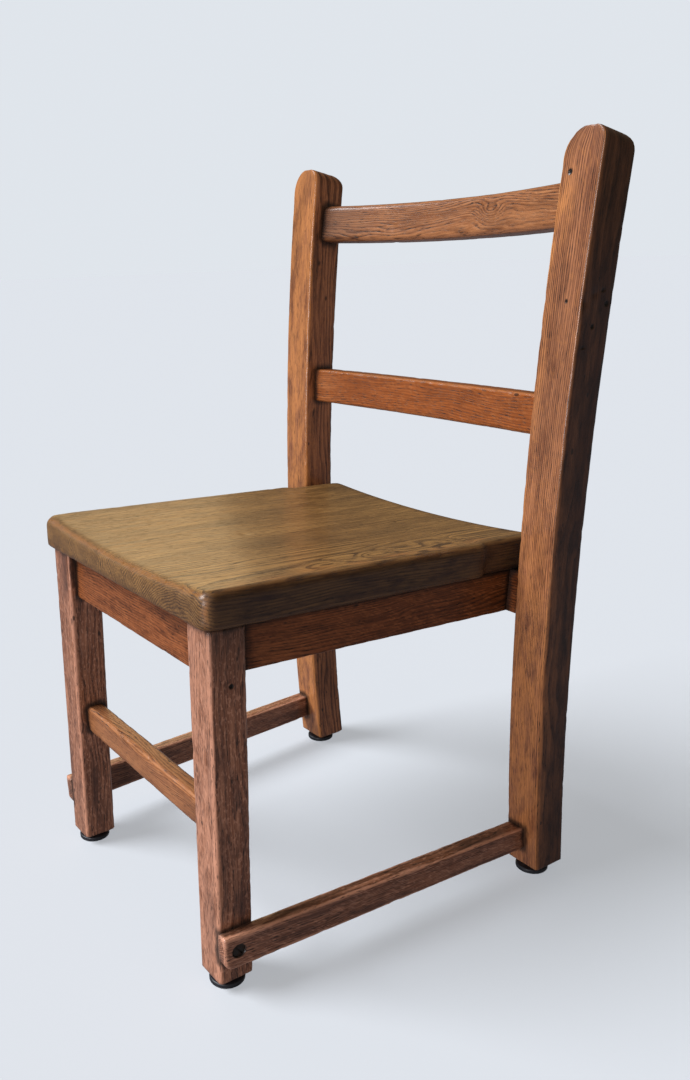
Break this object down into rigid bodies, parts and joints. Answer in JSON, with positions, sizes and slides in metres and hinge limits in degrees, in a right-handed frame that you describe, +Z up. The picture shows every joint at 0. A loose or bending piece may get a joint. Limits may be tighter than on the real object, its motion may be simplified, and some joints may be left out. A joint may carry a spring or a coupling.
{
  "type": "child's wooden school chair",
  "caption": "Small oak chair with a dished solid seat, bent back posts with bowed rails, splayed square front legs, low side stretchers and rubber glides.",
  "frame": {"origin": "middle of the chair's bounding box at floor level", "axes": "+Z up, the chair faces -Y, the sitter's left is +X"},
  "size_m": [0.363, 0.356, 0.606],
  "materials": {
    "seat_oak": "old varnish, satin, worn",
    "frame_oak": "dark red-brown stain and varnish, worn on the edges",
    "rail_oak": "red-brown varnish, worn lighter",
    "dark_steel": "blackened, dull",
    "glide_rubber": "hard black rubber, slightly worn",
    "nail_steel": "plain steel"
  },
  "bodies": {
    "root": {"seat": "seat_oak", "front_leg_left": "frame_oak", "front_leg_right": "frame_oak", "rear_post_left": "frame_oak", "rear_post_right": "frame_oak", "top_rail": "rail_oak", "mid_rail": "rail_oak", "front_apron": "frame_oak", "rear_apron": "frame_oak", "side_apron_left": "frame_oak", "side_apron_right": "frame_oak", "front_stretcher": "rail_oak", "side_stretcher_left": "frame_oak", "side_stretcher_right": "frame_oak", "stretcher_screws": "dark_steel", "seat_screws": "dark_steel", "glide_front_left": "glide_rubber", "glide_front_right": "glide_rubber", "glide_rear_left": "glide_rubber", "glide_rear_right": "glide_rubber", "glide_nails": "nail_steel"}
  },
  "joints": []
}
